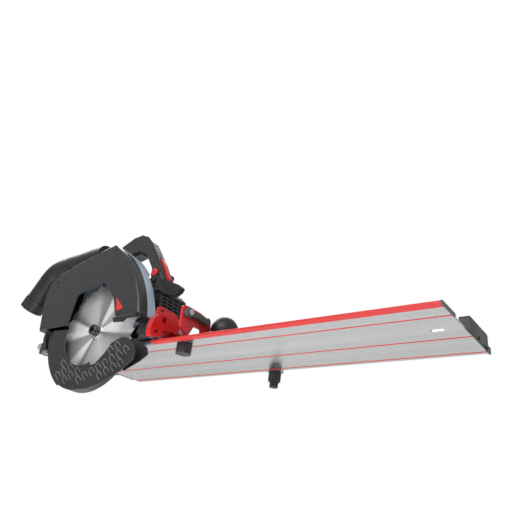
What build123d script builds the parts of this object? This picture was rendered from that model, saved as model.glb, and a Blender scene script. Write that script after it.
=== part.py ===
"""Track plunge saw on its guide rail.

Every piece is drawn about the blade's centre with the head at full depth, +X forward along the
rail, +Y from the blade to the motor and +Z up. On export it moves to the rail's own frame, whose
origin is the middle of the rail's underside.
"""
from build123d import *
import math
import os

# ---- driving dimensions, mm ----
BLADE_R = 118.5
BLADE_BODY = 1.8
BLADE_KERF = 2.5
BLADE_TEETH = 30
BLADE_ABOVE_WORK = 38.0
ARBOR_R = 15.0
RAIL_BACK, RAIL_FRONT = -100.0, 740.0
RAIL_NEAR, RAIL_FAR = 20.0, 228.0
RAIL_PLATE = 4.0
STRIP_EDGE = 6.5
GRIP_LINES = (52.0, 143.0, 217.0)
RIB_LINES = (66.0, 166.0)
RIB_W, RIB_H = 6.0, 5.0
TRAVEL = 400.0
MAX_BEVEL = 45.0
HOOD_FACE, HOOD_BACK = -26.0, -2.0
HOUSING_BACK = 9.0
RIM_BACK = 20.0
GEARBOX_BACK = 24.0
HOOD_WALL = 2.6
GUARD_R = 131.0
GUARD_WINDOW_R = 80.0
GUARD_FRONT = (-21.0, -19.2)
GUARD_REAR = (2.4, 4.2)
MOTOR_X, MOTOR_Z, MOTOR_R = 62.0, 54.0, 42.0
MOTOR_END = 118.0
PIVOT_X, PIVOT_Z, PIVOT_R = 150.0, 0.0, 6.0
HANDLE_Y, HANDLE_HALF = 60.0, 18.0
GRIP_X, GRIP_Y, GRIP_R, GRIP_TOP = 250.0, 120.0, 29.0, 46.0
DUCT_R = 26.0
PORT_R = 28.0
RUN = 0.05       # radial clearance of a turning fit
GAP = 0.4        # gap between pieces that pass each other

WORK_Z = -BLADE_ABOVE_WORK
RAIL_TOP = WORK_Z + RAIL_PLATE
BASE_Z0, BASE_Z1 = WORK_Z + 11.0, WORK_Z + 17.0
SPINDLE_GEAR_R = 24.0
PINION_R = 9.0
MOTOR_REACH = math.hypot(MOTOR_X, MOTOR_Z)
IDLER_R = (MOTOR_REACH - SPINDLE_GEAR_R - PINION_R) / 2
IDLER_REACH = SPINDLE_GEAR_R + IDLER_R
IDLER_X = MOTOR_X * IDLER_REACH / MOTOR_REACH
IDLER_Z = MOTOR_Z * IDLER_REACH / MOTOR_REACH
RAIL_MIDDLE = ((RAIL_BACK + RAIL_FRONT) / 2, (STRIP_EDGE + RAIL_FAR) / 2, WORK_Z)


# ---- small helpers ----
def box(x0, x1, y0, y1, z0, z1):
    return Pos((x0 + x1) / 2, (y0 + y1) / 2, (z0 + z1) / 2) * Box(x1 - x0, y1 - y0, z1 - z0)


def along_x(sketch, x0, x1):
    """Extrudes a (Y, Z) sketch from x0 to x1."""
    return extrude(Plane.YZ.offset(x0) * sketch, amount=x1 - x0)


def along_y(sketch, y0, y1):
    """Extrudes an (X, Z) sketch from y0 to y1."""
    return extrude(Plane.XZ.offset(-y1) * sketch, amount=y1 - y0)


def along_z(sketch, z0, z1):
    return extrude(Plane.XY.offset(z0) * sketch, amount=z1 - z0)


def rod_x(y, z, r, x0, x1):
    return along_x(Pos(y, z) * Circle(r), x0, x1)


def rod_y(x, z, r, y0, y1):
    return along_y(Pos(x, z) * Circle(r), y0, y1)


def rod_z(x, y, r, z0, z1):
    return along_z(Pos(x, y) * Circle(r), z0, z1)


def ring_y(x, z, r_in, r_out, y0, y1):
    return rod_y(x, z, r_out, y0, y1) - rod_y(x, z, r_in, y0, y1)


def outline(points, radius=0.0):
    face = make_face(Polyline(*points, close=True))
    return fillet(face.vertices(), radius) if radius else face


def polar(r, degrees, x=0.0, z=0.0):
    return (x + r * math.cos(math.radians(degrees)), z + r * math.sin(math.radians(degrees)))


def sector(r_in, r_out, a0, a1):
    """A ring sector about the origin, from angle a0 to a1 in degrees."""
    mid = (a0 + a1) / 2
    edges = [
        ThreePointArc(polar(r_out, a0), polar(r_out, mid), polar(r_out, a1)),
        Line(polar(r_out, a1), polar(r_in, a1)),
        ThreePointArc(polar(r_in, a1), polar(r_in, mid), polar(r_in, a0)),
        Line(polar(r_in, a0), polar(r_out, a0)),
    ]
    return make_face(edges)


def toothed(radius, teeth, depth, rake=0.0):
    """A disc with sawtooth or symmetric teeth, as an (X, Z) face."""
    points = []
    step = 360 / teeth
    for i in range(teeth):
        a = i * step
        points += [polar(radius - depth, a), polar(radius, a + step * (0.3 - rake)),
                   polar(radius, a + step * (0.7 - rake * 0.2))]
    return make_face(Polyline(*points, close=True))


# ---- rail ----
def make_guide_rail():
    rail = box(RAIL_BACK, RAIL_FRONT, RAIL_NEAR, RAIL_FAR, WORK_Z, RAIL_TOP)
    for y in RIB_LINES:
        rail += box(RAIL_BACK, RAIL_FRONT, y - RIB_W / 2, y + RIB_W / 2, RAIL_TOP, RAIL_TOP + RIB_H)
    rail += box(RAIL_BACK, RAIL_FRONT, RAIL_FAR - 3, RAIL_FAR, RAIL_TOP, RAIL_TOP + 3)
    for y in GRIP_LINES:
        rail -= box(RAIL_BACK, RAIL_FRONT, y - 1.5, y + 1.5, WORK_Z, WORK_Z + 1.2)
    rail -= box(RAIL_BACK, RAIL_FRONT, 60.0, 61.0, WORK_Z, WORK_Z + 0.6)
    rail -= along_z(Pos(700, 104) * SlotOverall(24, 8), WORK_Z, RAIL_TOP)
    rail -= rod_z(712, 190, 2.6, WORK_Z, RAIL_TOP)
    rail -= rod_z(*STOP_NEAR, 3 + RUN, WORK_Z, RAIL_TOP)
    return rail


STOP_NEAR = (228.0, 38.0)
STOP_FAR = (304.0, 237.0)


def make_splinter_strip():
    strip = box(165, RAIL_FRONT, STRIP_EDGE, RAIL_NEAR, WORK_Z, RAIL_TOP + 1)
    lip = strip.edges().filter_by(Axis.X).group_by(Axis.Y)[0]
    return chamfer(lip, 0.8)


def make_grip_strips():
    strips = [box(RAIL_BACK + 1, RAIL_FRONT - 1, y - 1.5, y + 1.5, WORK_Z - 0.4, WORK_Z + 1.2)
              for y in GRIP_LINES]
    return Compound(children=strips)


def make_end_stops():
    """A block on the rail's front end and a low bar across its back end."""
    front = box(728, 744, 118, 212, RAIL_TOP, RAIL_TOP + 22)
    front -= box(728, 744, RIB_LINES[1] - RIB_W / 2, RIB_LINES[1] + RIB_W / 2, RAIL_TOP,
                 RAIL_TOP + RIB_H)
    front = fillet(front.edges().filter_by(Axis.X).group_by(Axis.Z)[-1], 5)
    back = box(RAIL_BACK - 6, RAIL_BACK, 40, 210, WORK_Z, RAIL_TOP)
    back = fillet(back.edges().filter_by(Axis.Z), 2.4)
    return Compound(children=[front, back])


def make_end_caps():
    near = box(RAIL_FRONT, RAIL_FRONT + 3, STRIP_EDGE, 60, WORK_Z, RAIL_TOP + 1)
    far = box(RAIL_FRONT, RAIL_FRONT + 3, 213, RAIL_FAR + 2, WORK_Z - 1, RAIL_TOP + 6)
    return Compound(children=[near, far])


def fluted_knob(r, z0, z1, flutes):
    knob = Cylinder(r, z1 - z0)
    for i in range(flutes):
        x, y = polar(r + 0.6, i * 360 / flutes)
        knob -= Pos(x, y, 0) * Cylinder(1.5, z1 - z0)
    return Pos(0, 0, (z0 + z1) / 2) * knob


def make_near_stop_knob():
    knob = fluted_knob(15, WORK_Z - 19, WORK_Z - 0.8, 18)
    knob += Pos(0, 0, WORK_Z + 3) * Cylinder(3, 8)
    return Pos(*STOP_NEAR, 0) * knob


def make_stop_blocks():
    """The plate nut of the near stop and the edge block of the far one."""
    nut = box(-14, 14, -8, 8, RAIL_TOP, RAIL_TOP + 4) - rod_z(0, 0, 3 + RUN, RAIL_TOP, RAIL_TOP + 4)
    nut = Pos(*STOP_NEAR, 0) * nut
    x, y = STOP_FAR
    block = box(x - 16, x + 16, RAIL_FAR, y + 12, WORK_Z, RAIL_TOP + 3)
    block += box(x - 16, x + 16, 207, y + 12, RAIL_TOP + 3, RAIL_TOP + 7)
    block = fillet(block.edges().filter_by(Axis.Z).group_by(Axis.Y)[-1], 6)
    block -= rod_z(x, y, 3 + RUN, WORK_Z, RAIL_TOP + 7)
    return Compound(children=[nut, block])


def make_far_stop_knob():
    knob = fluted_knob(13, WORK_Z - 20, WORK_Z - GAP, 16)
    knob += Pos(0, 0, WORK_Z - 26) * Cylinder(9, 12)
    knob += Pos(0, 0, WORK_Z + 4) * Cylinder(3, 10)
    return Pos(*STOP_FAR, 0) * knob


# ---- carriage ----
BASE_BACK, BASE_FRONT = -206.0, 288.0
SHOE_X = (-72.0, 230.0)


def make_base_plate():
    plate = box(BASE_BACK, BASE_FRONT, 36, 198, BASE_Z0, BASE_Z1)
    plate = fillet(plate.edges().filter_by(Axis.Z), 12)
    plate += box(156, QUAD_X[1], 8, 60, BASE_Z0, BASE_Z1)
    plate += box(-203, -186, 8, 60, BASE_Z0, BASE_Z1)
    for y in (76, 196):
        plate += box(BASE_BACK + 21, QUAD_X[0] - 18, y - 2, y + 2, BASE_Z1, BASE_Z1 + 4)
    for x in (-46, 46):
        plate -= along_z(Pos(x, 148) * RectangleRounded(72, 60, 10), BASE_Z0, BASE_Z1)
    return plate - rod_z(GRIP_X, GRIP_Y, 4, BASE_Z0, BASE_Z1)


def make_glide_shoes():
    shoes = []
    for x in SHOE_X:
        for y in RIB_LINES:
            shoe = box(x - 22, x + 22, y - 9, y + 9, RAIL_TOP + 0.3, BASE_Z0)
            shoes.append(shoe - box(x - 22, x + 22, y - RIB_W / 2 - 0.3, y + RIB_W / 2 + 0.3,
                                    RAIL_TOP + 0.3, RAIL_TOP + RIB_H + 0.3))
    return Compound(children=shoes)


QUAD_X = (168.0, 173.0)
SEG_X = (173.6, 186.0)
BRACKET_X = (226.0, 232.0)
CLAMP_AT = (24.0, 22.0)
REAR_QUAD_X = (-203.0, -195.0)
REAR_SEG_X = (-194.4, -187.0)
STUD_R = 68.0
LEVER_HUB_W = 11.0
REAR_SCREW_Y, REAR_SCREW_Z = 20.0, -6.0
SEGMENT_HOLE = (13.0, 8.0)
STUD_ANGLE = 32.0
STUD_Y, STUD_Z = polar(STUD_R, STUD_ANGLE, 0, WORK_Z)


def bevel_slot():
    """The curved slot about the cut line, in which a bevel stud of 4 mm radius runs."""
    return Pos(0, WORK_Z) * sector(STUD_R - 4.6, STUD_R + 4.6, STUD_ANGLE - 5,
                                   STUD_ANGLE + MAX_BEVEL + 5)


def make_front_quadrant():
    """The front quadrant, joined by its foot to the bracket that carries the clamp lever."""
    shape = outline([(12, BASE_Z1), (2, 4), (2, 34), (8, 38), (30, 38), (52, 30), (74, 12), (82, -4),
                     (82, BASE_Z1)], 3)
    plate = along_x(shape, *QUAD_X) - along_x(bevel_slot(), *QUAD_X) - rod_x(*SEGMENT_HOLE, 5, *QUAD_X)
    plate += box(QUAD_X[0] - 12, BRACKET_X[1], 76, 97, BASE_Z1, BASE_Z1 + 5)
    shape = outline([(38, BASE_Z1), (14, -8), (12, 34), (24, 37), (62, 36), (95, 31), (97, 16),
                     (96, BASE_Z1), (76, BASE_Z1), (72, 4), (50, 4)], 2)
    bracket = along_x(shape, *BRACKET_X) - rod_x(*CLAMP_AT, 4, *BRACKET_X)
    return plate + bracket


def make_rear_quadrant():
    shape = outline([(12, BASE_Z1), (2, 4), (2, 36), (50, 38), (90, 10), (96, BASE_Z1)], 4)
    plate = along_x(shape, *REAR_QUAD_X) - along_x(bevel_slot(), *REAR_QUAD_X)
    lug = box(REAR_QUAD_X[0] - 14, REAR_QUAD_X[0], 10, 32, BASE_Z0 + 1, BASE_Z1 + 22)
    lug = fillet(lug.edges().filter_by(Axis.Y).group_by(Axis.Z)[-1], 5)
    return plate + lug - rod_x(REAR_SCREW_Y, REAR_SCREW_Z, 4, REAR_QUAD_X[0] - 14, REAR_QUAD_X[1])


def clamp_lever(y, z, x0, facing, length, angle):
    """A clamp lever with a hub along X and a flat arm that ends in a rounded knob."""
    x_arm = sorted((x0, x0 + facing * LEVER_HUB_W))
    hub = rod_x(y, z, 9, *x_arm)
    tip_y, tip_z = polar(length, angle, y, z)
    arm = Plane((x_arm[0], y, z), x_dir=(0, math.cos(math.radians(angle)),
                math.sin(math.radians(angle))), z_dir=(1, 0, 0))
    hub += extrude(arm * Pos(length / 2, 0) * Rectangle(length, 10), amount=LEVER_HUB_W)
    hub += rod_x(tip_y, tip_z, 7, *x_arm)
    return hub - rod_x(y, z, 4 + RUN, *x_arm)


def make_front_clamp_lever():
    return clamp_lever(*CLAMP_AT, BRACKET_X[1] + GAP, 1, 52, 0)


def make_rear_bevel_lever():
    return clamp_lever(STUD_Y, STUD_Z, REAR_QUAD_X[0] - GAP, -1, 46, 15)


def make_base_screws():
    """The glides' screws, the quadrant's foot screws, its stop screw and the palm grip's stud."""
    screws = []
    for x in SHOE_X:
        for y in RIB_LINES:
            screws.append(rod_z(x, y, 4, BASE_Z1, BASE_Z1 + 3))
    for y in (82, 92):
        screws.append(rod_z(QUAD_X[0] - 6, y, 3.6, BASE_Z1 + 5, BASE_Z1 + 8))
    clamp = rod_x(*CLAMP_AT, 4, BRACKET_X[0] - 5, BRACKET_X[1] + LEVER_HUB_W + 1)
    clamp += rod_x(*CLAMP_AT, 6, BRACKET_X[1] + LEVER_HUB_W + 1, BRACKET_X[1] + LEVER_HUB_W + 3)
    screws.append(clamp)
    y, z = SEGMENT_HOLE
    screws.append(rod_x(y, z, 5, *QUAD_X))
    stud = rod_z(GRIP_X, GRIP_Y, 4, BASE_Z0, BASE_Z1 + 30)
    screws.append(stud + rod_z(GRIP_X, GRIP_Y, 7, BASE_Z0 - 3, BASE_Z0))
    return Compound(children=screws)


def make_palm_grip():
    dome = Pos(GRIP_X, GRIP_Y, GRIP_TOP - GRIP_R) * Sphere(GRIP_R)
    dome &= box(GRIP_X - 50, GRIP_X + 50, GRIP_Y - 50, GRIP_Y + 50, GRIP_TOP - GRIP_R - 14, GRIP_TOP)
    dome += Pos(GRIP_X, GRIP_Y, (BASE_Z1 + GRIP_TOP - GRIP_R - 13) / 2) * Cylinder(
        21, GRIP_TOP - GRIP_R - 13 - BASE_Z1)
    return dome - rod_z(GRIP_X, GRIP_Y, 4, BASE_Z1, BASE_Z1 + 30)


def make_rear_thumb_screw():
    x1 = REAR_QUAD_X[0] - 14 - GAP
    head = Rot(0, 90, 0) * fluted_knob(9.5, -16, 0, 18)
    screw = Pos(x1, REAR_SCREW_Y, REAR_SCREW_Z) * head
    return screw + rod_x(REAR_SCREW_Y, REAR_SCREW_Z, 4 - RUN, x1, x1 + 14)


# ---- tilting frame ----
TILT_Z = (BASE_Z1 + 5, BASE_Z1 + 9)
CHEEK_Y = ((26.5, 32.5), (51.5, 57.5))


def make_front_segment():
    """The red bevel segment with its sight hole and two pockets."""
    shape = outline([(-16, -34), (-19, -16), (-14, 4), (0, 19), (16, 30), (34, 32), (48, 26), (62, 13),
                     (74, 3), (74, -4), (66, -9), (50, -9), (37, -7), (26, -16), (8, -28)], 2.5)
    plate = along_x(shape, *SEG_X) - rod_x(STUD_Y, STUD_Z, 4, *SEG_X)
    for pocket in ([(-8, -26), (-6, -17), (4, -14), (2, -22)], [(12, -22), (16, -14), (30, -8), (26, -14)]):
        plate -= along_x(outline(pocket), SEG_X[1] - 6, SEG_X[1])
    return plate - rod_x(*SEGMENT_HOLE, 7, *SEG_X)


def make_rear_segment():
    shape = outline([(14, -16), (14, 10), (20, 28), (38, 30), (62, 20), (76, -2), (76, -16)], 3)
    plate = along_x(shape, *REAR_SEG_X)
    return plate - rod_x(STUD_Y, STUD_Z, 4, *REAR_SEG_X)


def make_tilt_frame():
    frame = box(REAR_SEG_X[1], QUAD_X[0] - 0.5, 34, 70, *TILT_Z)
    frame += box(PIVOT_X - 10, QUAD_X[0] - 0.5, CHEEK_Y[0][0], 40, *TILT_Z)
    frame += box(QUAD_X[0] - 5, QUAD_X[0] - 0.5, 28, 70, TILT_Z[1], 6)
    frame += box(REAR_SEG_X[1], REAR_SEG_X[1] + 5, 28, 70, TILT_Z[1], 6)
    for y0, y1 in CHEEK_Y:
        frame += box(PIVOT_X - 10, PIVOT_X + 10, y0, y1, TILT_Z[1], PIVOT_Z)
        frame += rod_y(PIVOT_X, PIVOT_Z, 10, y0, y1)
    frame -= rod_x(STUD_Y, STUD_Z, 4, REAR_SEG_X[1], QUAD_X[0])
    return frame - rod_y(PIVOT_X, PIVOT_Z, PIVOT_R, 20, 60)


def make_bevel_studs():
    """The studs tie each segment to the frame and run in the quadrants' slots."""
    front = rod_x(STUD_Y, STUD_Z, 4, QUAD_X[0] - 8, SEG_X[1] + 6)
    front += along_x(Pos(STUD_Y, STUD_Z) * RegularPolygon(7.5, 6), SEG_X[1], SEG_X[1] + 5)
    front += rod_x(STUD_Y, STUD_Z, 7, QUAD_X[0] - 8, QUAD_X[0] - 5)
    rear = rod_x(STUD_Y, STUD_Z, 4, REAR_QUAD_X[0] - LEVER_HUB_W - 1, REAR_SEG_X[1] + 8)
    rear += rod_x(STUD_Y, STUD_Z, 6, REAR_QUAD_X[0] - LEVER_HUB_W - 3, REAR_QUAD_X[0] - LEVER_HUB_W - 1)
    rear += rod_x(STUD_Y, STUD_Z, 7, REAR_SEG_X[1] + 5, REAR_SEG_X[1] + 8)
    return Compound(children=[front, rear])


def make_pivot_pin():
    pin = rod_y(PIVOT_X, PIVOT_Z, PIVOT_R, CHEEK_Y[0][0] - 1, CHEEK_Y[1][1] + 16)
    return pin + rod_y(PIVOT_X, PIVOT_Z, 8, CHEEK_Y[0][0] - 3.5, CHEEK_Y[0][0] - 1)


def make_plunge_spring():
    """A torsion spring on the pivot pin, as close coils."""
    coils = [Pos(PIVOT_X, CHEEK_Y[1][1] + 2 + i * 2.6, PIVOT_Z) * Rot(90, 0, 0) * Torus(7.8, 1.1)
             for i in range(5)]
    return Compound(children=coils)


def make_plunge_bumper():
    """A rubber stop below the motor that sets the full depth."""
    top = MOTOR_Z - MOTOR_R - GAP
    return rod_z(MOTOR_X, 49, 8, TILT_Z[1], top - 4) + rod_z(MOTOR_X, 49, 6, top - 4, top)


# ---- head: hood, gearbox and motor ----
HOOD_BOTTOM = 14.0
DUCT_PATH = [(-40, 190), (-228, 184), (-278, 114)]
PORT_LENGTH = 28.0
PORT_BORE_R = 25.0
COVER_X = -96.0


def hood_outline(inset=0.0):
    """The side outline of the hood: a round front, a sloping top and a straight rear skirt."""
    rear = [(14, 198), (-18, 193), (-66, 183), (-117, 172), (-168, 157), (-198, 134), (-205, 104),
            (-197, 54), (-188, HOOD_BOTTOM)]
    face = make_face([
        ThreePointArc((150, HOOD_BOTTOM), (112, 105), (54, 170)),
        Polyline((54, 170), *rear, (150, HOOD_BOTTOM)),
    ])
    return offset(face, amount=-inset, kind=Kind.INTERSECTION) if inset else face


def duct_path():
    return Plane.XZ * FilletPolyline(*DUCT_PATH, radius=55)


def duct_solid(radius):
    """The round dust duct along the hood's top, bent down to the rear port."""
    path = duct_path()
    return sweep(Plane(origin=path @ 0, z_dir=path % 0) * Circle(radius), path)


def port_plane():
    """The plane at the duct's end, whose normal points out of the port."""
    path = duct_path()
    return Plane(origin=path @ 1, z_dir=path % 1)


WINDOW = [(-78, 0), (-78, 36), (-72, 86), (12, 107), (40, 80), (60, 58), (80, 14), (80, 0)]


def make_upper_hood():
    hood = along_y(hood_outline(), HOOD_FACE, HOOD_BACK)
    front = hood.faces().sort_by(Axis.Y)[0].edges()
    hood = fillet(front, 7)
    hood -= along_y(hood_outline(HOOD_WALL), HOOD_FACE + HOOD_WALL, HOOD_BACK)
    hood -= box(-160, 137, HOOD_FACE + HOOD_WALL, HOOD_BACK, HOOD_BOTTOM - 1, HOOD_BOTTOM + 6)
    hood -= along_y(outline(WINDOW, 7), HOOD_FACE, HOOD_FACE + HOOD_WALL)
    hood -= duct_solid(DUCT_R)
    return max(hood.solids(), key=lambda solid: solid.volume)


def make_dust_duct():
    """The duct is hollow and opens into the hood through a slot in its lower side."""
    duct = duct_solid(DUCT_R) - duct_solid(DUCT_R - 2.5)
    path = duct_path()
    duct += extrude(Plane(origin=path @ 0, z_dir=path % 0) * Circle(DUCT_R), amount=2.5)
    return duct - box(-150, -90, -20, -4, 150, 176)


def make_dust_port():
    """A fluted collar on the end of the duct that takes the hose."""
    collar = Cylinder(PORT_R, PORT_LENGTH) - Cylinder(PORT_BORE_R, PORT_LENGTH)
    for i in range(20):
        x, y = polar(PORT_R + 0.8, i * 18)
        collar -= Pos(x, y, 4) * Cylinder(1.8, PORT_LENGTH - 8)
    return port_plane() * (Pos(0, 0, PORT_LENGTH / 2) * collar)


def gearbox_face(r_spindle, r_idler, r_motor):
    return (Circle(r_spindle) + Pos(IDLER_X, IDLER_Z) * Circle(r_idler)
            + Pos(MOTOR_X, MOTOR_Z) * Circle(r_motor))


def make_gear_housing():
    housing = along_y(hood_outline(), HOOD_BACK, RIM_BACK)
    housing -= along_y(hood_outline(3), HOOD_BACK, HOUSING_BACK - 3)
    housing -= along_y(hood_outline(3), HOUSING_BACK, RIM_BACK)
    fins = along_y(hood_outline(1) - hood_outline(13), RIM_BACK - 8, RIM_BACK + 9)
    fins &= box(10, 110, 0, 40, 130, 200)
    for i in range(11):
        x, z = polar(150, 42 + i * 4.5)
        fins -= Pos(x, RIM_BACK + 6, z) * Rot(0, -42 - i * 4.5, 0) * Box(90, 12, 3.4)
    housing += fins
    housing -= box(-300, COVER_X, -40, 40, -60, 260)
    housing -= box(COVER_X, 137, HOOD_BACK, HOUSING_BACK - 3, HOOD_BOTTOM - 1, HOOD_BOTTOM + 6)
    housing += along_y(gearbox_face(30, 31, 44), HOUSING_BACK - 3, GEARBOX_BACK)
    housing -= along_y(gearbox_face(26, IDLER_R + 1.4, 26), 13, GEARBOX_BACK)
    housing += ring_y(0, 0, 19.6, 24 - RUN, 1.6, HOUSING_BACK - 3)
    housing -= rod_y(0, 0, 19.6, 0, 7)
    housing -= rod_y(0, 0, 18, 7, 13)
    housing -= rod_y(IDLER_X, IDLER_Z, 5, 9.5, 13)
    housing -= duct_solid(DUCT_R)
    housing = max(housing.solids(), key=lambda solid: solid.volume)
    for i in range(7):
        housing -= box(56 + i * 8, 60 + i * 8, HOUSING_BACK - 0.8, HOUSING_BACK, 108, 122 - i)
    return housing


def make_gearbox_cover():
    cover = along_y(gearbox_face(30, 31, 44), GEARBOX_BACK, GEARBOX_BACK + 8)
    cover -= rod_y(0, 0, 18, GEARBOX_BACK, GEARBOX_BACK + 6)
    cover -= rod_y(IDLER_X, IDLER_Z, 5, GEARBOX_BACK, GEARBOX_BACK + 5)
    cover -= rod_y(MOTOR_X, MOTOR_Z, 11, GEARBOX_BACK, GEARBOX_BACK + 8)
    return cover


MOTOR_Y0 = GEARBOX_BACK + 8


def make_rear_cover():
    """The black back of the hood, behind the gear housing, that holds the riving knife."""
    cover = along_y(hood_outline(), HOOD_BACK, HOUSING_BACK)
    cover -= along_y(hood_outline(3), HOOD_BACK, HOUSING_BACK - 3)
    cover -= box(COVER_X, 300, -40, 40, -60, 260)
    cover -= box(-160, COVER_X, HOOD_BACK, HOUSING_BACK - 3, HOOD_BOTTOM - 1, HOOD_BOTTOM + 6)
    cover += box(-178, -142, 1, HOUSING_BACK - 3, 30, 66)
    cover -= duct_solid(DUCT_R)
    for z in (38, 58):
        cover -= rod_y(-160, z, 3, 1, HOUSING_BACK)
    return cover - along_y(knife_outline(), -1, 1)


def knife_outline():
    inner = [polar(134, a) for a in (176, 205, 229)]
    return make_face([
        ThreePointArc(*inner),
        Line(inner[-1], (-92, -112)),
        ThreePointArc((-92, -112), (-140, -70), (-172, -8)),
        Polyline((-172, -8), (-178, 30), (-178, 66), (-142, 66), (-142, 40), inner[0]),
    ])


def make_riving_knife():
    knife = along_y(knife_outline(), -1, 1)
    for z in (38, 58):
        knife -= rod_y(-160, z, 3, -1, 1)
    return knife


def make_knife_clamp():
    """The clamp plate of the riving knife and its two screws."""
    plate = box(-176, -144, -4, -1, 32, 64)
    for z in (38, 58):
        plate += rod_y(-160, z, 3, -4, HOUSING_BACK) + rod_y(-160, z, 5, -7, -4)
    return plate


MOTOR_BLOCK = [(18, 12), (14, 60), (20, 108), (60, 114), (104, 113), (119, 100), (128, 40), (124, 12)]
BLOCK_Y = 44.0


def motor_block():
    return along_y(outline(MOTOR_BLOCK, 7), BLOCK_Y, MOTOR_END)


def make_motor_housing():
    """The round motor housing inside its louvred outer block."""
    motor = rod_y(MOTOR_X, MOTOR_Z, MOTOR_R, MOTOR_Y0, BLOCK_Y) + motor_block()
    motor -= rod_y(MOTOR_X, MOTOR_Z, MOTOR_R - 2.6, MOTOR_Y0 + 4, MOTOR_END - 4)
    motor -= rod_y(MOTOR_X, MOTOR_Z, 11, MOTOR_Y0, MOTOR_Y0 + 4)
    motor -= rod_y(MOTOR_X, MOTOR_Z, 11, MOTOR_END - 4, MOTOR_END)
    for row in range(9):
        for column in range(4):
            y = BLOCK_Y + 8 + column * 17
            motor -= box(116, 132, y, y + 13, 20 + row * 8.6, 24 + row * 8.6)
            motor -= box(24 + row * 9, 28 + row * 9, y, y + 13, 106, 118)
    return motor


def make_motor_end_cap():
    cap = along_y(outline(MOTOR_BLOCK, 7), MOTOR_END, MOTOR_END + 9)
    cap = fillet(cap.edges().group_by(Axis.Y)[-1], 5)
    cap -= rod_y(MOTOR_X, MOTOR_Z, 12, MOTOR_END, MOTOR_END + 6)
    for i in range(12):
        x, z = polar(27, i * 30, MOTOR_X, MOTOR_Z)
        cap -= Pos(x, MOTOR_END + 6, z) * Rot(0, -i * 30, 0) * Box(14, 8, 4)
    return cap


def make_stator():
    return ring_y(MOTOR_X, MOTOR_Z, 27, MOTOR_R - 2.6, 50, 88)


def make_brushes():
    parts = []
    for side in (-1, 1):
        x0, x1 = sorted((MOTOR_X + side * 13, MOTOR_X + side * (MOTOR_R - 3.2)))
        parts.append(box(x0, x1, 93, 101, MOTOR_Z - 4, MOTOR_Z + 4))
    return Compound(children=parts)


def make_bearings():
    parts = [ring_y(0, 0, 12 + RUN, 18, 7, 12), ring_y(0, 0, 12 + RUN, 18, 24, 29)]
    for y in (MOTOR_Y0, MOTOR_END - 6):
        parts.append(ring_y(MOTOR_X, MOTOR_Z, 5 + RUN, 11, y, y + 6))
    return Compound(children=parts)


def make_head_arm():
    """The cast arm from the motor to the plunge pivot."""
    arm = along_y(outline([(84, 0), (110, -8), (150, -9), (159, 0), (150, 9), (112, 56), (96, 66)]),
                  33.2, 50.8)
    arm += rod_y(PIVOT_X, PIVOT_Z, 10, 33.2, 50.8)
    arm -= rod_y(MOTOR_X, MOTOR_Z, MOTOR_R, 30, BLOCK_Y) + motor_block()
    return arm - rod_y(PIVOT_X, PIVOT_Z, PIVOT_R + RUN, 30, 60)


def make_hood_shoe():
    """The dark wear piece below the hood's front, beside the cut."""
    shape = outline([(72, HOOD_BOTTOM), (76, 4), (104, 2), (112, 8), (140, 8), (146, HOOD_BOTTOM)], 1)
    return along_y(shape, HOOD_FACE + 0.5, GUARD_FRONT[0] - GAP)


HOOD_SCREWS = [(130, 52), (102, 104), (26, 186), (-168, 134), (-186, 72)]


def make_housing_screws():
    """The screws of the hood's face and of the motor's end cap."""
    screws = [rod_y(x, z, 3.4, HOOD_FACE - 1.2, HOOD_FACE) for x, z in HOOD_SCREWS]
    for a in (45, 135, 225, 315):
        x, z = polar(34, a, MOTOR_X, MOTOR_Z)
        screws.append(rod_y(x, z, 3, MOTOR_END + 9, MOTOR_END + 11))
    return Compound(children=screws)


# ---- handle ----
def handle_outline():
    outer = [(126, 92), (119, 128), (102, 158), (84, 184), (66, 210), (47, 236), (31, 253), (12, 262),
             (-14, 260), (-60, 240), (-100, 204), (-104, 120), (-70, 92), (0, 88), (40, 96), (90, 90)]
    inner = [(76, 130), (70, 160), (47, 192), (18, 208), (-44, 196), (-66, 174), (-62, 134), (-40, 124)]
    return outline(outer, 6) - outline(inner, 8)


def handle_half(side):
    y_split = HANDLE_Y
    y_out = HANDLE_Y + side * HANDLE_HALF
    half = along_y(handle_outline(), *sorted((y_split, y_out)))
    face = half.faces().sort_by(Axis.Y)[0 if side < 0 else -1]
    half = fillet(face.edges(), 8)
    hollow = [(112, 104), (102, 138), (66, 190), (36, 234), (20, 244), (30, 222), (60, 190), (86, 150),
              (88, 104)]
    half -= along_y(outline(hollow, 3), *sorted((y_split, y_out - side * 5)))
    half -= rod_y(MOTOR_X, MOTOR_Z, MOTOR_R, 0, 150) + motor_block()
    half -= trigger_room()
    half -= make_switch_module()
    half -= rod_x(HANDLE_Y, GLAND_Z, 9, -122, -103)
    half -= rod_y(*DIAL, DIAL_R + GAP, DIAL_Y[0] - GAP, DIAL_Y[1] + GAP)
    half -= along_y(Pos(*LOCKOFF) * Circle(LOCKOFF_R + GAP), 40, 52)
    return half


DIAL = (110.0, 137.0)
DIAL_R = 9.0
DIAL_Y = (67.5, 75.5)
GLAND_Z = 150.0
LOCKOFF = (91.0, 144.0)
LOCKOFF_R = 9.5
TRIGGER = [(80, 182), (86, 187), (99, 170), (125, 129), (121, 120), (104, 132), (92, 156)]
TRIGGER_PIVOT = (86.5, 178.0)
TRIGGER_HALF = 5.5


def trigger_room():
    """Room for the trigger and its swing."""
    room = [(72, 188), (94, 198), (142, 134), (134, 109), (108, 109), (92, 130), (82, 154)]
    return along_y(outline(room), HANDLE_Y - TRIGGER_HALF - GAP, HANDLE_Y + TRIGGER_HALF + GAP)


def make_handle_left():
    return handle_half(-1)


def make_handle_right():
    return handle_half(1)


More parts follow.
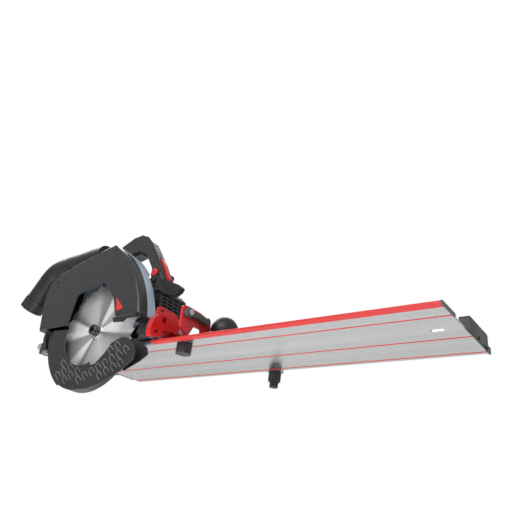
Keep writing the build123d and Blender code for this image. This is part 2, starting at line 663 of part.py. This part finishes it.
def make_trigger():
    trigger = along_y(outline(TRIGGER, 1.5), HANDLE_Y - TRIGGER_HALF, HANDLE_Y + TRIGGER_HALF)
    return trigger - rod_y(*TRIGGER_PIVOT, 2 + RUN, 40, 80)


def make_handle_pins():
    """The pins of the trigger, the speed dial and the plunge release."""
    x, z = LEVER_HUB
    release = rod_y(x, z, 5, 29, HANDLE_Y - HANDLE_HALF) + rod_y(x, z, 7, 26.5, 29)
    release -= along_y(Pos(x, z) * RegularPolygon(3, 6), 26.5, 28)
    return Compound(children=[
        rod_y(*TRIGGER_PIVOT, 2, HANDLE_Y - TRIGGER_HALF - GAP, HANDLE_Y + TRIGGER_HALF + GAP),
        rod_y(*DIAL, 2, DIAL_Y[0] - GAP, DIAL_Y[1] + GAP),
        release,
    ])


def make_lockoff_button():
    x, z = LOCKOFF
    button = rod_y(x, z, LOCKOFF_R, HANDLE_Y - HANDLE_HALF - 4.5, 48)
    return fillet(button.edges().group_by(Axis.Y)[0], 2)


def make_speed_dial():
    dial = Rot(90, 0, 0) * fluted_knob(DIAL_R, -DIAL_Y[1], -DIAL_Y[0], 20)
    return Pos(DIAL[0], 0, DIAL[1]) * dial - rod_y(*DIAL, 2 + RUN, *DIAL_Y)


def make_switch_module():
    return box(53, 65, HANDLE_Y - 7, HANDLE_Y + 7, 186, 199)


def make_cord_gland():
    """The cord's inlet at the rear of the handle."""
    return rod_x(HANDLE_Y, GLAND_Z, 9, -122, -103) - rod_x(HANDLE_Y, GLAND_Z, 4.2, -122, -110)


LEVER_HUB = (104.0, 118.0)


def make_plunge_release():
    """The flared lever beside the handle's root that frees the plunge."""
    x, z = LEVER_HUB
    y0, y1 = 30.0, HANDLE_Y - HANDLE_HALF - GAP
    shape = outline([(98, 124), (123, 120), (153, 108), (189, 92), (196, 85), (191, 77), (177, 70),
                     (150, 79), (118, 97), (98, 110)], 3)
    lever = along_y(shape, y0, y1)
    lever += rod_y(x, z, 12, y0, y1)
    return lever - rod_y(x, z, 5 + RUN, y0, y1)


# ---- blade, gears and armature ----
def make_saw_blade():
    face = toothed(BLADE_R, BLADE_TEETH, 8, 0.25) - Circle(ARBOR_R)
    for i in range(4):
        slot = SlotCenterToCenter(16, 1.6)
        face -= Pos(*polar(104, 45 + i * 90)) * Rot(0, 0, 45 + i * 90) * slot
    return along_y(face, -BLADE_BODY / 2, BLADE_BODY / 2)


def make_blade_flanges():
    outer = rod_y(0, 0, 17, -5, -BLADE_BODY / 2)
    outer = chamfer(outer.edges().group_by(Axis.Y)[0], 1.2) - rod_y(0, 0, 5, -5, 0)
    return Compound(children=[outer, ring_y(0, 0, 12, 19, BLADE_BODY / 2, 6.5)])


def make_spindle():
    spindle = rod_y(0, 0, 12, BLADE_BODY / 2, 29)
    spindle += rod_y(0, 0, ARBOR_R, -BLADE_BODY / 2, BLADE_BODY / 2)
    return spindle - rod_y(0, 0, 5, -BLADE_BODY / 2, 20)


def make_flange_screw():
    screw = rod_y(0, 0, 11.3, -17, -5)
    screw = chamfer(screw.edges().group_by(Axis.Y)[0], 1.5)
    screw -= along_y(RegularPolygon(5.5, 6), -17, -9)
    return screw + rod_y(0, 0, 5, -5, 18)


def make_spindle_gear():
    face = toothed(SPINDLE_GEAR_R - GAP / 2, 34, 2.2) - Circle(12)
    return along_y(face, 13.5, 20.5)


def make_idler_gear():
    face = toothed(IDLER_R - GAP / 2, 35, 2.2) - Circle(5 + RUN)
    return Pos(IDLER_X, 0, IDLER_Z) * along_y(face, 13.5, 20.5)


def make_idler_shaft():
    return rod_y(IDLER_X, IDLER_Z, 5, 9.5, GEARBOX_BACK + 4.5)


def make_armature():
    core = rod_y(MOTOR_X, MOTOR_Z, 26, 52, 86) + rod_y(MOTOR_X, MOTOR_Z, 12, 91, 103)
    core += rod_y(MOTOR_X, MOTOR_Z, 5, 12.5 + 1, MOTOR_END)
    pinion = along_y(toothed(PINION_R - GAP / 2, 13, 1.8), 13.5, 20.5)
    return core + Pos(MOTOR_X, 0, MOTOR_Z) * pinion


def make_motor_fan():
    fan = ring_y(MOTOR_X, MOTOR_Z, 5, 14, 39, 47)
    for i in range(9):
        blade = Pos(22, 43, 0) * Rot(0, 25, 0) * Box(20, 8, 1.6)
        fan += Pos(MOTOR_X, 0, MOTOR_Z) * Rot(0, i * 40, 0) * blade
    return fan


# ---- lower guard ----
def make_lower_guard():
    """The pendulum guard: a front plate with a nose, a rim and a rear plate with its hub."""
    nose = [(112, -30), (132, -35), (150, -49), (159, -64), (159, -79), (128, -101), (78, -122),
            (36, -131), (12, -130), (14, -84), (46, -80), (69, -59), (82, -40)]
    front_face = sector(GUARD_WINDOW_R, GUARD_R, 176, 290) + outline(nose)
    front = along_y(front_face, *GUARD_FRONT)
    rear_nose = [(96, -20), (138, -34), (164, -50), (170, -64), (150, -76), (110, -92), (60, -60)]
    rear_face = sector(90, GUARD_R, 176, 322) + outline(rear_nose)
    spokes = outline([(-14, 16), (14, 16), (60, -86), (-60, -86)])
    rear_face += spokes + Circle(31)
    rear_face -= Circle(24)
    rear = along_y(rear_face, *GUARD_REAR)
    rim = along_y(sector(GUARD_R - 2.2, GUARD_R, 178, 318), GUARD_FRONT[1], GUARD_REAR[0])
    return front + rim + rear


def make_guard_spring():
    return ring_y(0, 0, 25.5, 29, 4.6, HOUSING_BACK - 3)


MAKERS = [
    make_guide_rail, make_splinter_strip, make_grip_strips, make_end_stops, make_end_caps,
    make_stop_blocks, make_near_stop_knob, make_far_stop_knob,
    make_base_plate, make_glide_shoes, make_front_quadrant, make_rear_quadrant,
    make_base_screws, make_palm_grip, make_rear_thumb_screw,
    make_front_clamp_lever, make_rear_bevel_lever,
    make_front_segment, make_rear_segment, make_tilt_frame, make_bevel_studs, make_pivot_pin,
    make_plunge_spring, make_plunge_bumper,
    make_upper_hood, make_dust_duct, make_dust_port, make_gear_housing, make_gearbox_cover,
    make_rear_cover, make_riving_knife, make_knife_clamp, make_motor_housing,
    make_motor_end_cap, make_stator, make_brushes, make_bearings, make_head_arm,
    make_hood_shoe, make_housing_screws, make_handle_left, make_handle_right,
    make_trigger, make_handle_pins, make_lockoff_button, make_speed_dial,
    make_switch_module, make_cord_gland, make_plunge_release,
    make_saw_blade, make_blade_flanges, make_spindle, make_flange_screw,
    make_spindle_gear, make_idler_gear, make_idler_shaft, make_armature, make_motor_fan,
    make_lower_guard, make_guard_spring,
]

os.makedirs("parts", exist_ok=True)
to_rail = Pos(*[-v for v in RAIL_MIDDLE])
for make in MAKERS:
    export_step(to_rail * make(), f"parts/{make.__name__[5:]}.step")
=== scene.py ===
"""Looks of the track plunge saw: camera, light, materials and detail pieces round the CAD frame."""

import math

import bmesh
import bpy
from mathutils import Matrix, Vector


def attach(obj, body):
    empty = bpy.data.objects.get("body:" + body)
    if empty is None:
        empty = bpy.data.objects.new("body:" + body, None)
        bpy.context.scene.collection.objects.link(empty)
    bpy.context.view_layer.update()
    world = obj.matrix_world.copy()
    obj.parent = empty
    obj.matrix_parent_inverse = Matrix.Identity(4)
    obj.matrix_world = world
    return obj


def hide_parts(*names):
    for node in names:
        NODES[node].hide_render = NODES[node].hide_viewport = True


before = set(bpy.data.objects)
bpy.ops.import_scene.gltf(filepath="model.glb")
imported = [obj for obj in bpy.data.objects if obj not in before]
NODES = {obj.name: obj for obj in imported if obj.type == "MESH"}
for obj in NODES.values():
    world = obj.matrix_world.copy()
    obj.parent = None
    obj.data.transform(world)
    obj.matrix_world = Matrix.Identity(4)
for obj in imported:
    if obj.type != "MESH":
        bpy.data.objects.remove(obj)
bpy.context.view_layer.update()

MM = 0.001
# The CAD model's own places, in mm, from the blade's centre to the row frame.
BLADE_AT = Vector((-320.0, -117.25, 38.0)) * MM


def at(x, y, z):
    """A point given from the blade's centre in mm, in the row frame in metres."""
    return BLADE_AT + Vector((x, y, z)) * MM


# ---- camera, light and stage ----
CAMERA_AT = at(996, -709, -368)
CAMERA_RIGHT = Vector((0.805, 0.580, 0.121))
CAMERA_DOWN = Vector((-0.176, 0.429, -0.886))
LENS_MM = 39.52
WORLD_LOW, WORLD_HIGH = 0.16, 0.50


def make_camera():
    """The camera, built from its own right and down directions."""
    data = bpy.data.cameras.new("camera")
    data.lens = LENS_MM
    data.sensor_width = 36.0
    data.clip_start = 0.02
    camera = bpy.data.objects.new("camera", data)
    bpy.context.scene.collection.objects.link(camera)
    right = CAMERA_RIGHT.normalized()
    forward = CAMERA_DOWN.cross(right).normalized() * -1
    up = forward.cross(right).normalized() * -1
    rotation = Matrix((right, up, -forward)).transposed()
    camera.matrix_world = Matrix.Translation(CAMERA_AT) @ rotation.to_4x4()
    bpy.context.scene.camera = camera


FLOOR_SIZE, FLOOR_Z = 6.0, -0.62
# Lamps: name, place and target in mm about the blade's centre, size in metres, power in watts.
LAMPS = [
    ("key", (500, -1400, 900), (200, 0, 0), (1.6, 1.2), 17),
    ("rim", (-900, 500, 900), (0, 0, 0), (1.4, 1.0), 14),
    ("under", (450, -250, -560), (450, -245, 0), (1.6, 0.8), 3.5),
]


def make_lamps():
    for name, place, target, size, power in LAMPS:
        data = bpy.data.lights.new(name, "AREA")
        data.shape = "RECTANGLE"
        data.size, data.size_y = size
        data.energy = power
        light = bpy.data.objects.new(name, data)
        bpy.context.scene.collection.objects.link(light)
        light.location = at(*place)
        aim = at(*target) - at(*place)
        light.rotation_euler = aim.to_track_quat("-Z", "Y").to_euler()


def make_world():
    """The camera sees plain white. All else is lit by a dimmer sky that is brighter above."""
    world = bpy.data.worlds.new("studio")
    world.use_nodes = True
    tree = world.node_tree
    place = add_node(tree, "TexCoord")
    height = add_node(tree, "SeparateXYZ", links={"Vector": place.outputs["Generated"]})
    fade = add_node(tree, "MapRange", map_values((-0.5, 0.5), (WORLD_LOW, WORLD_HIGH)),
                    {"Value": height.outputs["Z"]})
    seen = add_node(tree, "LightPath")
    mix = add_node(tree, "Mix", {"B": 1.0}, {"Factor": seen.outputs["Is Camera Ray"],
                                             "A": fade.outputs["Result"]})
    sky = tree.nodes["Background"]
    sky.inputs["Color"].default_value = (1, 1, 1, 1)
    tree.links.new(mix.outputs["Result"], sky.inputs["Strength"])
    bpy.context.scene.world = world
    bpy.context.scene.view_settings.view_transform = "Standard"


def make_floor():
    mesh = bpy.data.meshes.new("floor")
    corners = [(-1, -1), (1, -1), (1, 1), (-1, 1)]
    mesh.from_pydata([(x * FLOOR_SIZE, y * FLOOR_SIZE, FLOOR_Z) for x, y in corners], [],
                     [(0, 1, 2, 3)])
    floor = bpy.data.objects.new("floor", mesh)
    bpy.context.scene.collection.objects.link(floor)
    mesh.materials.append(surface("floor_paint", (0.93, 0.93, 0.92), 0.8, variation=0.01,
                                  grain=(40, 0.02), spread=0.02))


# ---- materials ----
def add_node(tree, kind, values=None, links=None, **settings):
    """Adds a shader node. values sets its inputs and links joins them to other sockets."""
    node = tree.nodes.new("ShaderNode" + kind)
    for name, value in settings.items():
        setattr(node, name, value)
    for name, value in (values or {}).items():
        node.inputs[name].default_value = value
    for name, socket in (links or {}).items():
        tree.links.new(socket, node.inputs[name])
    return node


def map_values(source, target):
    """A Map Range node's settings, from one (low, high) pair to another."""
    return {"From Min": source[0], "From Max": source[1], "To Min": target[0], "To Max": target[1]}


def mix_color(tree, factor, below, color):
    """Mixes a plain colour over what lies below, by a factor socket."""
    mix = add_node(tree, "Mix", links={"Factor": factor, "A": below}, data_type="RGBA")
    mix.inputs["B"].default_value = (*color, 1)
    return mix.outputs["Result"]


NOISE_SPAN = (0.3, 0.7)      # the part of a noise's range that its values mostly fill
COAT_ROUGHNESS = 0.12
BUMP_DEPTH = 0.0003          # metres
WORN_SPAN = (0.995, 0.86)    # how far the rounded normal leans, from unworn to fully worn


def surface(name, color, roughness, metallic=0.0, variation=0.10, grain=(900, 0.15), patch=18,
            stretch=(1, 1, 1), wear=None, coat=0.0, round_mm=0.4, anisotropic=0.0, spread=0.12):
    """A procedural finish: blotchy colour and roughness, a fine grain and paler worn edges."""
    material = bpy.data.materials.new(name)
    material.use_nodes = True
    tree = material.node_tree
    shader = tree.nodes["Principled BSDF"]
    shader.inputs["Metallic"].default_value = metallic
    shader.inputs["Coat Weight"].default_value = coat
    shader.inputs["Coat Roughness"].default_value = COAT_ROUGHNESS
    shader.inputs["Anisotropic"].default_value = anisotropic
    place = add_node(tree, "TexCoord")
    mapping = add_node(tree, "Mapping", {"Scale": stretch}, {"Vector": place.outputs["Object"]})
    spot = {"Vector": mapping.outputs["Vector"]}
    patches = add_node(tree, "TexNoise", {"Scale": patch, "Detail": 4}, spot)
    grit = add_node(tree, "TexNoise", {"Scale": grain[0], "Detail": 3}, spot)

    shade = add_node(tree, "MapRange", map_values(NOISE_SPAN, (1 - variation, 1 + variation)),
                     {"Value": patches.outputs["Fac"]})
    tint = add_node(tree, "VectorMath", {0: color}, {"Scale": shade.outputs["Result"]},
                    operation="SCALE")
    paint = tint.outputs["Vector"]
    span = (max(roughness - spread, 0.03), min(roughness + spread, 1.0))
    rough = add_node(tree, "MapRange", map_values(NOISE_SPAN, span),
                     {"Value": patches.outputs["Fac"]})
    tree.links.new(rough.outputs["Result"], shader.inputs["Roughness"])

    rounded = add_node(tree, "Bevel", {"Radius": round_mm * MM}, samples=4)
    bump = add_node(tree, "Bump", {"Strength": grain[1], "Distance": BUMP_DEPTH},
                    {"Height": grit.outputs["Fac"], "Normal": rounded.outputs["Normal"]})
    tree.links.new(bump.outputs["Normal"], shader.inputs["Normal"])

    if wear:
        worn_color, amount = wear
        geometry = add_node(tree, "NewGeometry")
        facing = add_node(tree, "VectorMath", None, {0: geometry.outputs["Normal"],
                                                     1: rounded.outputs["Normal"]},
                          operation="DOT_PRODUCT")
        edge = add_node(tree, "MapRange", map_values(WORN_SPAN, (0.0, amount)),
                        {"Value": facing.outputs["Value"]})
        patchy = add_node(tree, "Math", None, {0: edge.outputs["Result"],
                                               1: shade.outputs["Result"]}, operation="MULTIPLY")
        paint = mix_color(tree, patchy.outputs["Value"], paint, worn_color)
    tree.links.new(paint, shader.inputs["Base Color"])
    return material


def add_dark_patch(material, centre, size, color):
    """Darkens a finish inside an ellipsoid, given about the blade's centre in mm."""
    tree = material.node_tree
    base = tree.nodes["Principled BSDF"].inputs["Base Color"]
    paint = base.links[0].from_socket
    place = add_node(tree, "TexCoord")
    local = add_node(tree, "VectorMath", {1: at(*centre)}, {0: place.outputs["Object"]},
                     operation="SUBTRACT")
    scaled = add_node(tree, "VectorMath", {1: [v * MM for v in size]},
                      {0: local.outputs["Vector"]}, operation="DIVIDE")
    reach = add_node(tree, "VectorMath", None, {0: scaled.outputs["Vector"]}, operation="LENGTH")
    inside = add_node(tree, "MapRange", map_values((1.03, 0.97), (0.0, 1.0)),
                      {"Value": reach.outputs["Value"]})
    tree.links.new(mix_color(tree, inside.outputs["Result"], paint, color), base)


# Painted highlight and painted shade wedges in place of reflections: how bright the blade's sides are
# at each angle, in degrees from +X towards +Z. They are a fault to repair.
BLADE_PAINTED_SHEEN = [(0, 0.95), (22, 0.95), (27, 0.42), (44, 0.48), (53, 0.92), (67, 0.92), (76, 0.25),
               (92, 0.32), (108, 0.60), (138, 0.55), (156, 0.26), (162, 0.98), (184, 0.98),
               (191, 0.38), (216, 0.42), (224, 0.95), (236, 0.92), (246, 0.26), (263, 0.52),
               (300, 0.66), (324, 0.50), (349, 0.28), (356, 0.92)]


def painted_sheen_blade_finish():
    """Ground steel with painted highlight and shade wedges and fine streaks that run out from the
    centre.
    """
    material = surface("painted_sheen_blade_steel", (0.8, 0.8, 0.8), 0.30, 0.35, 0.04, (700, 0.06),
                       anisotropic=0.55, spread=0.05)
    tree = material.node_tree
    shader = tree.nodes["Principled BSDF"]
    around = add_node(tree, "Tangent", direction_type="RADIAL", axis="Y")
    tree.links.new(around.outputs["Tangent"], shader.inputs["Tangent"])
    place = add_node(tree, "TexCoord")
    axes = add_node(tree, "SeparateXYZ", links={"Vector": place.outputs["Object"]})
    angle = add_node(tree, "Math", None, {0: axes.outputs["Z"], 1: axes.outputs["X"]},
                     operation="ARCTAN2")
    turn = add_node(tree, "Math", {1: 2 * math.pi}, {0: angle.outputs["Value"]},
                    operation="DIVIDE")
    wrapped = add_node(tree, "Math", None, {0: turn.outputs["Value"]}, operation="FRACT")
    # The ramp paints highlights and shade into the base colour by angle round the centre.
    ramp = add_node(tree, "ValToRGB", links={"Fac": wrapped.outputs["Value"]})
    ramp.color_ramp.interpolation = "EASE"
    elements = ramp.color_ramp.elements
    for degrees, value in BLADE_PAINTED_SHEEN[1:-1]:
        elements.new(degrees / 360)
    for element, (degrees, value) in zip(elements, BLADE_PAINTED_SHEEN):
        element.position = degrees / 360
        element.color = (value, value, value, 1)
    streaks = add_node(tree, "TexNoise", None, None, noise_dimensions="1D")
    streaks.inputs["Scale"].default_value = 260
    tree.links.new(wrapped.outputs["Value"], streaks.inputs["W"])
    fine = add_node(tree, "MapRange", {"To Min": 0.90, "To Max": 1.06},
                    {"Value": streaks.outputs["Fac"]})
    tint = add_node(tree, "VectorMath", None, {0: ramp.outputs["Color"],
                                               "Scale": fine.outputs["Result"]},
                    operation="SCALE")
    tree.links.new(tint.outputs["Vector"], shader.inputs["Base Color"])
    return material


def make_finishes():
    grey_edge = ((0.25, 0.25, 0.26), 0.5)
    return {
        "rail": surface("rail_aluminium", (0.80, 0.81, 0.82), 0.27, 1.0, 0.05, (500, 0.10), 30,
                        (0.02, 1, 1), round_mm=0.25, spread=0.06),
        "black": surface("black_plastic", (0.018, 0.018, 0.020), 0.38, grain=(1400, 0.25),
                         wear=grey_edge),
        "rubber": surface("black_rubber", (0.020, 0.020, 0.021), 0.62, grain=(1800, 0.3)),
        "red_rubber": surface("red_rubber", (0.70, 0.030, 0.030), 0.45, grain=(1500, 0.15)),
        "grey": surface("grey_plastic", (0.075, 0.078, 0.082), 0.40, grain=(1400, 0.2),
                        wear=grey_edge),
        "hood": surface("hood_coat", (0.024, 0.025, 0.028), 0.34, grain=(1600, 0.35), coat=0.15,
                        wear=grey_edge, round_mm=0.8),
        "blue": surface("blue_alloy", (0.50, 0.62, 0.72), 0.33, 0.25, 0.06, (700, 0.25),
                        wear=((0.8, 0.84, 0.9), 0.5)),
        "red": surface("red_enamel", (0.66, 0.012, 0.016), 0.28, coat=0.4, grain=(500, 0.05),
                       wear=((0.95, 0.30, 0.28), 0.5), round_mm=0.9),
        "red_plastic": surface("red_plastic", (0.72, 0.02, 0.02), 0.3, coat=0.3, grain=(700, 0.06),
                               round_mm=0.8),
        "handle": surface("handle_shell", (0.020, 0.020, 0.023), 0.24, coat=0.3, grain=(1200, 0.15),
                          round_mm=1.0),
        "cast": surface("cast_alloy", (0.42, 0.43, 0.45), 0.42, 1.0, 0.10, (600, 0.5),
                        wear=((0.8, 0.8, 0.82), 0.5)),
        "steel": surface("plated_steel", (0.66, 0.66, 0.67), 0.24, 1.0, 0.08, (800, 0.12),
                         wear=((0.9, 0.9, 0.9), 0.5)),
        "dark_steel": surface("dark_steel", (0.10, 0.10, 0.105), 0.30, 1.0, 0.12, (900, 0.15),
                              wear=((0.5, 0.5, 0.5), 0.6)),
        "blade": surface("blade_steel", (0.70, 0.70, 0.70), 0.30, 1.0, 0.05, (700, 0.08)),
        "guard": surface("guard_coat", (0.020, 0.021, 0.024), 0.34, coat=0.1, grain=(900, 0.12),
                         wear=((0.35, 0.35, 0.37), 0.7), round_mm=0.6),
        "core": surface("core_steel", (0.30, 0.28, 0.25), 0.45, 1.0, stretch=(1, 60, 1)),
        "ridge": surface("guard_ridge", (0.30, 0.30, 0.31), 0.40, grain=(900, 0.15)),
        # Ground steel with painted highlight and shade wedges.
        "ground_with_painted_sheen": painted_sheen_blade_finish(),
        "brass": surface("carbon_brass", (0.66, 0.50, 0.22), 0.35, 1.0),
    }


NODE_FINISH = {
    "rail": ["guide_rail"],
    "rubber": ["plunge_bumper", "cord_gland"],
    "red_rubber": ["grip_strips", "splinter_strip"],
    "grey": ["end_caps", "glide_shoes", "front_clamp_lever", "rear_bevel_lever"],
    "black": ["end_stops", "near_stop_knob", "far_stop_knob", "palm_grip", "dust_duct", "dust_port",
              "motor_housing", "motor_end_cap", "hood_shoe", "speed_dial", "switch_module",
              "plunge_release", "motor_fan"],
    "hood": ["upper_hood", "rear_cover"],
    "blue": ["gear_housing", "gearbox_cover"],
    "red": ["front_quadrant", "front_segment"],
    "red_plastic": ["trigger", "lockoff_button"],
    "handle": ["handle_left", "handle_right"],
    "cast": ["base_plate", "tilt_frame", "head_arm"],
    "steel": ["stop_blocks", "base_screws", "rear_thumb_screw", "bevel_studs", "pivot_pin",
              "knife_clamp", "bearings", "blade_flanges", "idler_shaft"],
    "dark_steel": ["plunge_spring", "riving_knife", "housing_screws", "spindle", "flange_screw",
                   "spindle_gear", "idler_gear", "guard_spring"],
    "blade": ["saw_blade"],
    "guard": ["lower_guard", "rear_segment", "rear_quadrant", "handle_pins"],
    "core": ["stator", "armature"],
    "brass": ["brushes"],
}


def paint_nodes(finishes):
    for finish, names in NODE_FINISH.items():
        for name in names:
            mesh = NODES[name].data
            mesh.materials.clear()
            mesh.materials.append(finishes[finish])


# A darker patch at the foot of the gear housing: centre and reach in mm about the blade's centre, and
# colour.
GEARBOX_FOOT, GEARBOX_FOOT_SIZE = (128, 8, -8), (34, 40, 30)
GEARBOX_FOOT_COLOR = (0.03, 0.032, 0.036)


# ---- pieces ----
def add_piece(name, mesh, body, material):
    piece = bpy.data.objects.new(name, mesh)
    bpy.context.scene.collection.objects.link(piece)
    piece.data.materials.append(material)
    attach(piece, body)
    return piece


def plate(name, outlines, y0, y1, origin=None):
    """A mesh of flat (X, Z) outlines in mm, each extruded from y0 to y1."""
    bm = bmesh.new()
    shift = Vector((0, 0, 0)) if origin else BLADE_AT
    for points in outlines:
        loop = [bm.verts.new(shift + Vector((x, y0, z)) * MM) for x, z in points]
        face = bm.faces.new(loop)
        bmesh.ops.recalc_face_normals(bm, faces=[face])
        top = bmesh.ops.extrude_face_region(bm, geom=[face])["geom"]
        moved = [v for v in top if isinstance(v, bmesh.types.BMVert)]
        bmesh.ops.translate(bm, verts=moved, vec=Vector((0, y1 - y0, 0)) * MM)
    bmesh.ops.recalc_face_normals(bm, faces=bm.faces)
    mesh = bpy.data.meshes.new(name)
    bm.to_mesh(mesh)
    bm.free()
    return mesh


def polar(radius, degrees, x=0.0, z=0.0):
    return (x + radius * math.cos(math.radians(degrees)), z + radius * math.sin(math.radians(degrees)))


BLADE_R, BLADE_TEETH, BLADE_HALF = 118.3, 30, 0.9


def make_blade(finishes):
    """The blade's body with gullets, and its carbide tips, about the blade's own centre."""
    step = 360 / BLADE_TEETH
    rim = []
    tips = []
    for i in range(BLADE_TEETH):
        a = i * step
        rim += [polar(BLADE_R - 7.5, a), polar(BLADE_R - 9.2, a + 0.12 * step),
                polar(BLADE_R - 8.6, a + 0.28 * step), polar(BLADE_R - 5, a + 0.50 * step),
                polar(BLADE_R - 1.6, a + 0.80 * step), polar(BLADE_R - 1.4, a + 0.96 * step)]
        tips.append([polar(BLADE_R - 6.5, a + 0.93 * step), polar(BLADE_R - 5.6, a + 0.80 * step),
                     polar(BLADE_R - 0.6, a + 0.74 * step), polar(BLADE_R, a + 0.97 * step)])
    body = add_piece("blade_body", plate("blade_body", [rim], -BLADE_HALF, BLADE_HALF, "own"),
                     "blade", finishes["ground_with_painted_sheen"])
    teeth = add_piece("blade_tips", plate("blade_tips", tips, -1.2, 1.2, "own"),
                      "blade", finishes["steel"])
    for piece in (body, teeth):
        piece.location = BLADE_AT
    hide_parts("saw_blade")


GUARD_FACE = -20.7
GUARD_ARM = [(-96, -50), (-62, -48), (-52, -62), (-20, -80), (14, -84), (46, -80), (69, -59), (82, -40),
             (112, -30), (132, -35), (150, -49), (158, -66), (157, -80), (128, -100), (78, -121),
             (36, -129), (0, -129), (-40, -122), (-76, -103)]


def inside(x, z, loop):
    """Whether a point lies inside a closed (X, Z) loop."""
    hit = False
    for (x0, z0), (x1, z1) in zip(loop, loop[1:] + loop[:1]):
        if (z0 > z) != (z1 > z) and x < (x1 - x0) * (z - z0) / (z1 - z0) + x0:
            hit = not hit
    return hit


def make_guard_ridges(finishes):
    """Rows of raised horseshoes on the guard's lower arm."""
    data = bpy.data.curves.new("guard_ridges", "CURVE")
    data.dimensions = "3D"
    data.bevel_depth = 0.0006
    data.bevel_resolution = 1
    along = Vector((0.78, -0.63))
    across = Vector((0.63, 0.78))
    half, leg = 5.0, 14.0
    for i in range(-8, 12):
        for j in range(-4, 5):
            middle = Vector((20, -100)) + Vector((18.0, 7.5)) * i + Vector((10.0, -18.0)) * j
            shape = [middle + along * leg - across * half]
            for step in range(7):
                turn = math.radians(-90 - step * 30)
                shape.append(middle + across * half * math.sin(turn) + along * half * math.cos(turn))
            shape.append(middle + along * leg + across * half)
            reach = [middle + (p - middle) * 1.25 for p in shape]
            if not all(inside(p.x, p.y, GUARD_ARM) for p in reach):
                continue
            spline = data.splines.new("POLY")
            spline.points.add(len(shape) - 1)
            for point, p in zip(spline.points, shape):
                point.co = (*at(p.x, GUARD_FACE, p.y), 1)
    add_piece("guard_ridges", data, "guard", finishes["ridge"])


def make_arrow(finishes):
    """The plain arrow head on the hood that shows which way the blade turns."""
    points = [(68.5, 60), (77, 52), (97, 33), (94, 30), (80, 27), (78.5, 30)]
    add_piece("hood_arrow", plate("hood_arrow", [points], -26.25, -25.9), "head",
              finishes["red_plastic"])


def make_lockoff_ring(finishes):
    """The raised collar round the lock-off button."""
    x, z, inner, outer = 91.0, 144.0, 10.6, 13.6
    bm = bmesh.new()
    count = 48
    section = [(outer, 41.9), (outer - 0.4, 40.9), (inner + 0.4, 40.9), (inner, 41.9)]
    rings = []
    for i in range(count):
        ring = []
        for radius, y in section:
            px, pz = polar(radius, i * 360 / count, x, z)
            ring.append(bm.verts.new(at(px, y, pz)))
        rings.append(ring)
    for a, b in zip(rings, rings[1:] + rings[:1]):
        for k in range(4):
            bm.faces.new((a[k], a[(k + 1) % 4], b[(k + 1) % 4], b[k]))
    bmesh.ops.recalc_face_normals(bm, faces=bm.faces)
    mesh = bpy.data.meshes.new("lockoff_ring")
    bm.to_mesh(mesh)
    bm.free()
    add_piece("lockoff_ring", mesh, "head", finishes["black"])


make_camera()
finishes = make_finishes()
add_dark_patch(finishes["blue"], GEARBOX_FOOT, GEARBOX_FOOT_SIZE, GEARBOX_FOOT_COLOR)
make_world()
make_floor()
make_lamps()
paint_nodes(finishes)
make_blade(finishes)
make_guard_ridges(finishes)
make_arrow(finishes)
make_lockoff_ring(finishes)
